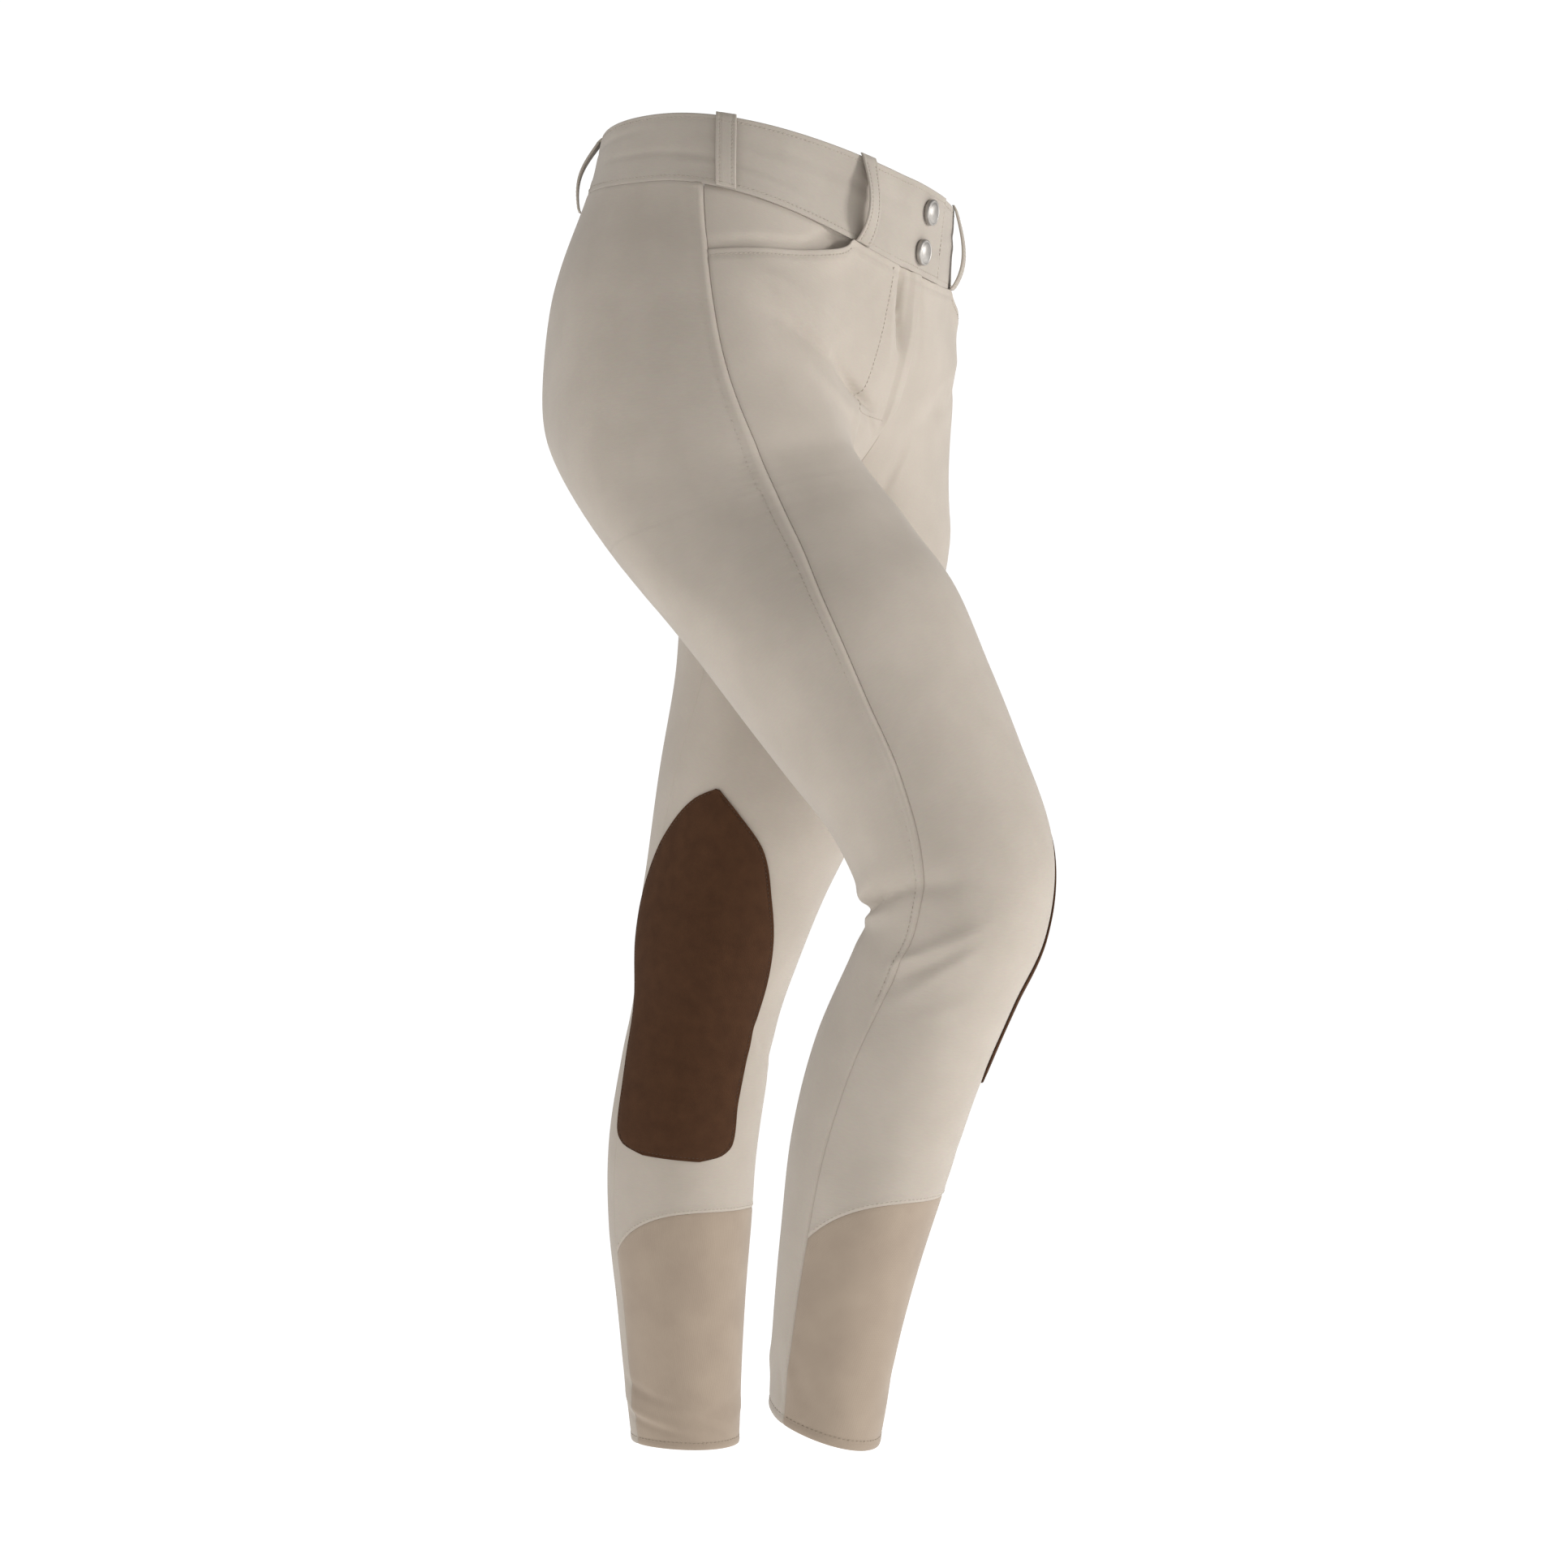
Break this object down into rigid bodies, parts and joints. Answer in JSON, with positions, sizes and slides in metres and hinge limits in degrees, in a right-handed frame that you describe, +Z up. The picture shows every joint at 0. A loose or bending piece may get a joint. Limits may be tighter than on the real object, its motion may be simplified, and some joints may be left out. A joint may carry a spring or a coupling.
{
  "type": "riding breeches",
  "caption": "Knee-patch riding breeches held open as worn: hollow low waistband, shaped seat and legs, one knee forward, narrowing to stretch sock bottoms",
  "frame": {"origin": "middle of the waist opening, half way up the waistband, where the wearer's waist holds the garment", "axes": "+Z up from the hems to the waist, -Y the front of the garment, -X the wearer's right leg, which is the one with its knee forward"},
  "size_m": [0.3552, 0.3944, 0.8742],
  "materials": {
    "main_cloth": "fine stretch cotton twill, matt, warm grey beige",
    "sock_knit": "smooth stretch knit, matt, warm tan",
    "patch_suede": "dark brown brushed suede with a short nap",
    "snap_metal": "pale satin metal caps"
  },
  "bodies": {
    "root": {"waistband_right": "main_cloth", "waistband_left": "main_cloth", "front_right": "main_cloth", "front_left": "main_cloth", "back_right": "main_cloth", "back_left": "main_cloth", "pocket_right": "main_cloth", "pocket_left": "main_cloth", "sock_right": "sock_knit", "sock_left": "sock_knit", "patch_right": "patch_suede", "patch_left": "patch_suede", "loop_front_right": "main_cloth", "loop_front_left": "main_cloth", "loop_side_right": "main_cloth", "loop_side_left": "main_cloth", "loop_back_right": "main_cloth", "loop_back_left": "main_cloth", "snap_upper": "snap_metal", "snap_lower": "snap_metal"}
  },
  "joints": []
}
